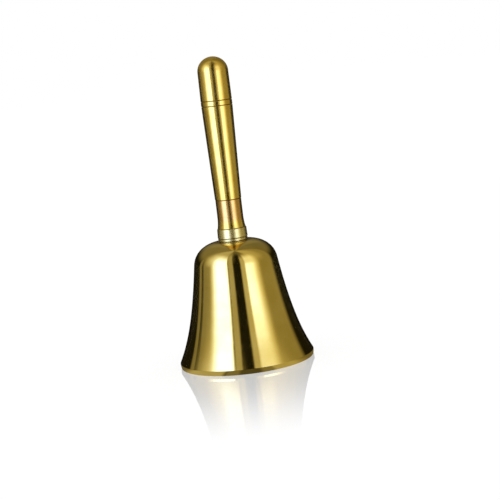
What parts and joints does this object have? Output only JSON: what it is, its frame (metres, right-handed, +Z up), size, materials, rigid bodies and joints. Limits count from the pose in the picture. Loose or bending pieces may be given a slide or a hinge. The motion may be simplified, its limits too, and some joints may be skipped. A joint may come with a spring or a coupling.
{
  "type": "hand bell",
  "caption": "Polished brass hand bell: a flared bell under a long tapered turned handle, with a ball clapper hung inside on a wire link.",
  "frame": {"origin": "middle of the bell's mouth, on the plane of the rim", "axes": "+Z up the bell's axis towards the handle's cap; +X and -X are the clapper's swing, +Y and -Y its rock"},
  "size_m": [0.08, 0.08, 0.181],
  "materials": {
    "bell_brass": "mirror polish over faint spinning lines, a little darker at the lip",
    "collar_brass": "bright turned, paler than the handle",
    "neck_brass": "polished, redder alloy",
    "handle_brass": "polished, with turning lines and dark grooves at the joints",
    "clapper_brass": "satin turned, with a strike mark",
    "steel": "zinc bright, dulled",
    "spring_steel": "blued",
    "washer_leather": "waxed cut leather"
  },
  "bodies": {
    "bell": {"bell_shell": "bell_brass", "seat_disc": "collar_brass", "foot_collar": "collar_brass", "neck_ferrule": "neck_brass", "grip": "handle_brass", "band_ring": "handle_brass", "handle_cap": "handle_brass", "tie_rod": "steel", "leather_washer": "washer_leather", "crown_washer": "steel", "spring_washer": "spring_steel", "crown_nut": "steel"},
    "link": {"clapper_link": "steel"},
    "clapper": {"clapper_rod": "steel", "clapper_jam_nut": "steel", "clapper_ball": "clapper_brass"}
  },
  "joints": [
    {"name": "clapper_swing", "type": "hinge", "parent": "bell", "child": "link", "pos_m": [0, 0, 0.05461], "axis": [0, 1, 0], "range_deg": [-31.5, 31.5]},
    {"name": "clapper_rock", "type": "hinge", "parent": "link", "child": "clapper", "pos_m": [0, 0, 0.05011], "axis": [1, 0, 0], "range_deg": [-6, 6]}
  ]
}
